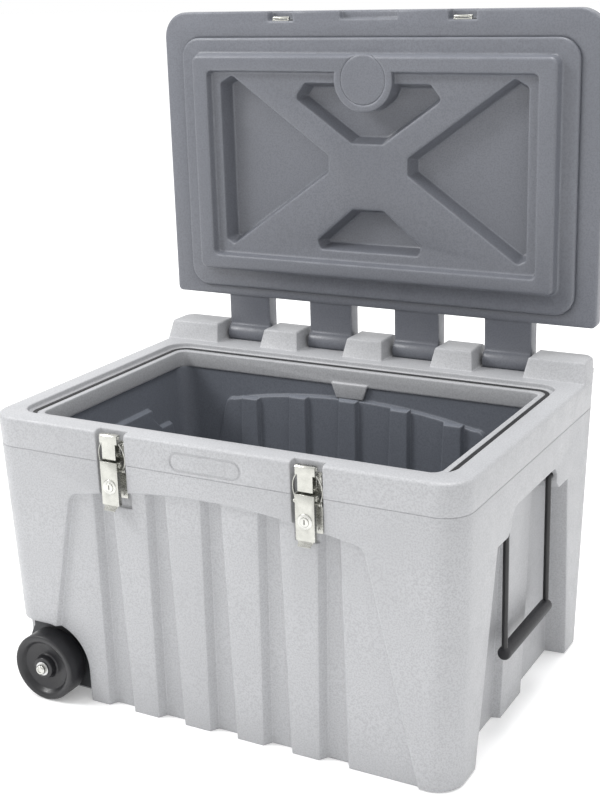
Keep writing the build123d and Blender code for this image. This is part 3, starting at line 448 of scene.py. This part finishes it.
class COOLER_OT_latches(bpy.types.Operator):
    """Toggle latches: folded lever, knobbed cross pin, keyed lock, hook, screws and keepers"""
    bl_idname = "cooler.latches"
    bl_label = "Latches"

    def execute(self, context):
        for side, name in ((-1, "left"), (1, "right")):
            x = side * LATCH_X
            lever = f"lever_{name}"
            softened(f"latch_lever_{name}", 0.0005, "latch", lever)
            softened(f"latch_base_{name}", 0.0004, "latch", "cooler_body")
            softened(f"latch_hook_{name}", 0.0005, "latch", f"hook_{name}", angle=25.0)
            softened(f"latch_hook_wires_{name}", 0.0, "latch", f"hook_{name}")
            softened(f"lid_keeper_{name}", 0.0004, "latch", "lid")
            softened(f"latch_lock_barrel_{name}", 0.0003, "lock", f"lock_{name}")
            self.cross_pin(x, name)
            self.collar(x, name)
            self.tongue(x, name)
            self.screws(x, name)
            self.hook_rivets(x, name)
        return {"FINISHED"}

    def cross_pin(self, x, name):
        rows = [(0, -22), (2.6, -22), (3, -21.4), (3, -20.3), (2.0, -19.9), (2.0, 19.9), (3, 20.3), (3, 21.4),
                (2.6, 22), (0, 22)]
        points = [(px / MM, r / MM, 0) for r, px in rows]
        pin = turned(f"cross_pin_{name}", (x, CROSS_AT[0], CROSS_AT[1]), (1, 0, 0), points, 28)
        settle(pin, f"lever_{name}", FINISH["latch"], (f"latch_cross_pin_{name}",))

    def collar(self, x, name):
        rows = [(6.6, 6), (6.6, -1.2), (7.2, -1.6), (8.2, -1.6), (9.2, -1.25), (9.8, -1.5), (10.7, -1.3),
                (11.4, -0.5), (11.4, 0), (8, 0), (8, 6), (6.6, 6)]
        points = [(r / MM, y / MM, 0) for r, y in rows]
        collar = turned(f"lock_collar_{name}", (x, LEVER_FRONT, LOCK_Z), (0, 1, 0), points, 48)
        settle(collar, f"lever_{name}", FINISH["lock"], (f"latch_lock_collar_{name}",))

    def tongue(self, x, name):
        """A curled pull tab under the lever: one edge pulled out step by step, then thickened."""
        clear_selection()
        bpy.ops.mesh.primitive_plane_add(size=0.002, location=(x, TONGUE_FRONT, 0.3475),
                                         rotation=(math.pi / 2, 0, 0))
        tab = bpy.context.object
        tab.name = f"lever_tongue_{name}"
        bpy.ops.transform.resize(value=(12.0, 1.0, 1.0))
        bpy.ops.object.transform_apply(location=False, rotation=True, scale=True)
        bpy.ops.object.mode_set(mode="EDIT")
        bpy.ops.mesh.select_mode(type="EDGE")
        bpy.ops.mesh.select_all(action="DESELECT")
        bpy.ops.object.mode_set(mode="OBJECT")
        for edge in tab.data.edges:
            ends = [tab.data.vertices[i].co.z for i in edge.vertices]
            edge.select = max(ends) < 0.0
        bpy.ops.object.mode_set(mode="EDIT")
        low = 0.3465
        curl = ((0.0022, 0.0001, 0.98), (0.0018, 0.0008, 0.93), (0.0014, 0.0016, 0.86), (0.0006, 0.0016, 0.78))
        for down, out, narrow in curl:
            low -= down
            bpy.ops.mesh.extrude_region_move(TRANSFORM_OT_translate={"value": (0, -out, -down)})
            bpy.ops.transform.resize(value=(narrow, 1, 1), center_override=(x, 0, low))
        bpy.ops.object.mode_set(mode="OBJECT")
        thick = tab.modifiers.new("sheet", "SOLIDIFY")
        thick.thickness = 0.0009
        thick.offset = 0.0
        bpy.ops.object.modifier_apply(modifier=thick.name)
        bevel_edges(tab, 0.0003, 2)
        settle(tab, f"lever_{name}", FINISH["latch"])

    def screws(self, x, name):
        heads = []
        for dx, z in ((0.011, 0.358), (0.0147, 0.435)):
            for hand in (-1, 1):
                heads.append(head("screw", (x + hand * dx, SCREW_FACE, z), 1, HEAD_RADIUS, -0.0014, 0.0006))
        settle(joined(heads, f"base_screw_heads_{name}"), "cooler_body", FINISH["lock"],
               (f"latch_base_screws_{name}",))

    def hook_rivets(self, x, name):
        rivets = []
        for hand in (-1, 1):
            rivets.append(head("rivet", (x + hand * 0.015, *RIVET_AT), 0, HEAD_RADIUS, hand * 0.0016))
        settle(joined(rivets, f"hook_rivets_{name}"), f"hook_{name}", FINISH["latch"])


class COOLER_OT_mouldings(bpy.types.Operator):
    """Shells of the tub and the lid, with edges bevelled as far as clamping allows"""
    bl_idname = "cooler.mouldings"
    bl_label = "Mouldings"

    def execute(self, context):
        softened("outer_shell", MOULD_ROUND, "shell", "cooler_body", 3, 24.0)
        softened("lid_outer_shell", MOULD_ROUND, "lid", "lid", 3, 24.0)
        softened("lid_inner_shell", MOULD_ROUND, "lid", "lid", 3, 14.0)
        return {"FINISHED"}


class COOLER_OT_stage(bpy.types.Operator):
    """Adds the pale floor, the soft lights and the camera"""
    bl_idname = "cooler.stage"
    bl_label = "Studio"

    def execute(self, context):
        studio = context.scene.cooler_studio
        clear_selection()
        bpy.ops.mesh.primitive_plane_add(size=60.0, location=(0, 0, -0.0005))
        floor = context.object
        floor.name = "studio_floor"
        mat, tree, shader, place = fresh("pale studio floor")
        patches = spread(tree, noise(tree, place, 0.6, 2.0), 0.0, 1.0)
        tint = mixed(tree, patches, (0.92, 0.92, 0.92), (0.95, 0.95, 0.95))
        tree.links.new(tint, shader.inputs["Base Color"])
        shader.inputs["Roughness"].default_value = 0.9
        shader.inputs["Emission Color"].default_value = (1.0, 1.0, 1.0, 1.0)
        shader.inputs["Emission Strength"].default_value = 0.2
        floor.data.materials.append(mat)
        world = bpy.data.worlds.new("plain surround")
        context.scene.world = world
        world.use_nodes = True
        back = world.node_tree.nodes["Background"]
        back.inputs["Color"].default_value = (1.0, 1.0, 1.0, 1.0)
        back.inputs["Strength"].default_value = studio.sky
        lights = (("key", (-2.7, -1.7, 3.1), studio.key_power, 1.1),
                  ("top", (0.4, 0.2, 3.6), studio.fill_power, 1.2))
        for name, spot, power, size in lights:
            bpy.ops.object.light_add(type="AREA", radius=size, location=spot)
            lamp = context.object
            lamp.name = name
            lamp.data.energy = power
            lamp.data.size = size
            lamp.rotation_euler = (Vector((0, 0, 0.45)) - Vector(spot)).to_track_quat("-Z", "Y").to_euler()
        data = bpy.data.cameras.new("camera")
        data.lens = studio.lens
        camera = bpy.data.objects.new("camera", data)
        context.collection.objects.link(camera)
        camera.matrix_world = camera_place()
        context.scene.camera = camera
        context.scene.view_settings.view_transform = "Standard"
        return {"FINISHED"}


CAMERA_AT = (1.0151, -1.8279, 1.0853)
CAMERA_YAW = -0.508
CAMERA_PITCH = -0.2965
CAMERA_ROLL = -0.0298


def camera_place():
    ahead = Vector((math.sin(CAMERA_YAW) * math.cos(CAMERA_PITCH),
                    math.cos(CAMERA_YAW) * math.cos(CAMERA_PITCH), math.sin(CAMERA_PITCH)))
    level = Vector((math.cos(CAMERA_YAW), -math.sin(CAMERA_YAW), 0.0))
    above = level.cross(ahead)
    right = level * math.cos(CAMERA_ROLL) + above * math.sin(CAMERA_ROLL)
    top = above * math.cos(CAMERA_ROLL) - level * math.sin(CAMERA_ROLL)
    turn = Matrix((right, top, -ahead)).transposed()
    return Matrix.Translation(CAMERA_AT) @ turn.to_4x4()


class COOLER_PT_panel(bpy.types.Panel):
    bl_label = "Cooler box"
    bl_space_type = "VIEW_3D"
    bl_region_type = "UI"
    bl_category = "Cooler"

    def draw(self, context):
        for name in STEPS:
            self.layout.operator(name)
        for group in (context.scene.cooler_colours, context.scene.cooler_studio):
            for key in group.bl_rna.properties.keys():
                if key not in ("rna_type", "name"):
                    self.layout.prop(group, key)


STEPS = ("cooler.finishes", "cooler.mouldings", "cooler.latches", "cooler.wheels", "cooler.handles",
         "cooler.stage")
CLASSES = (CoolerColours, CoolerStudio, COOLER_OT_finishes, COOLER_OT_mouldings, COOLER_OT_latches,
           COOLER_OT_wheels, COOLER_OT_handles, COOLER_OT_stage, COOLER_PT_panel)


def register():
    for item in CLASSES:
        bpy.utils.register_class(item)
    bpy.types.Scene.cooler_colours = bpy.props.PointerProperty(type=CoolerColours)
    bpy.types.Scene.cooler_studio = bpy.props.PointerProperty(type=CoolerStudio)


def unregister():
    del bpy.types.Scene.cooler_studio
    del bpy.types.Scene.cooler_colours
    for item in reversed(CLASSES):
        bpy.utils.unregister_class(item)


def main():
    register()
    for name in STEPS:
        group, step = name.split(".")
        getattr(getattr(bpy.ops, group), step)()


if __name__ == "__main__":
    main()
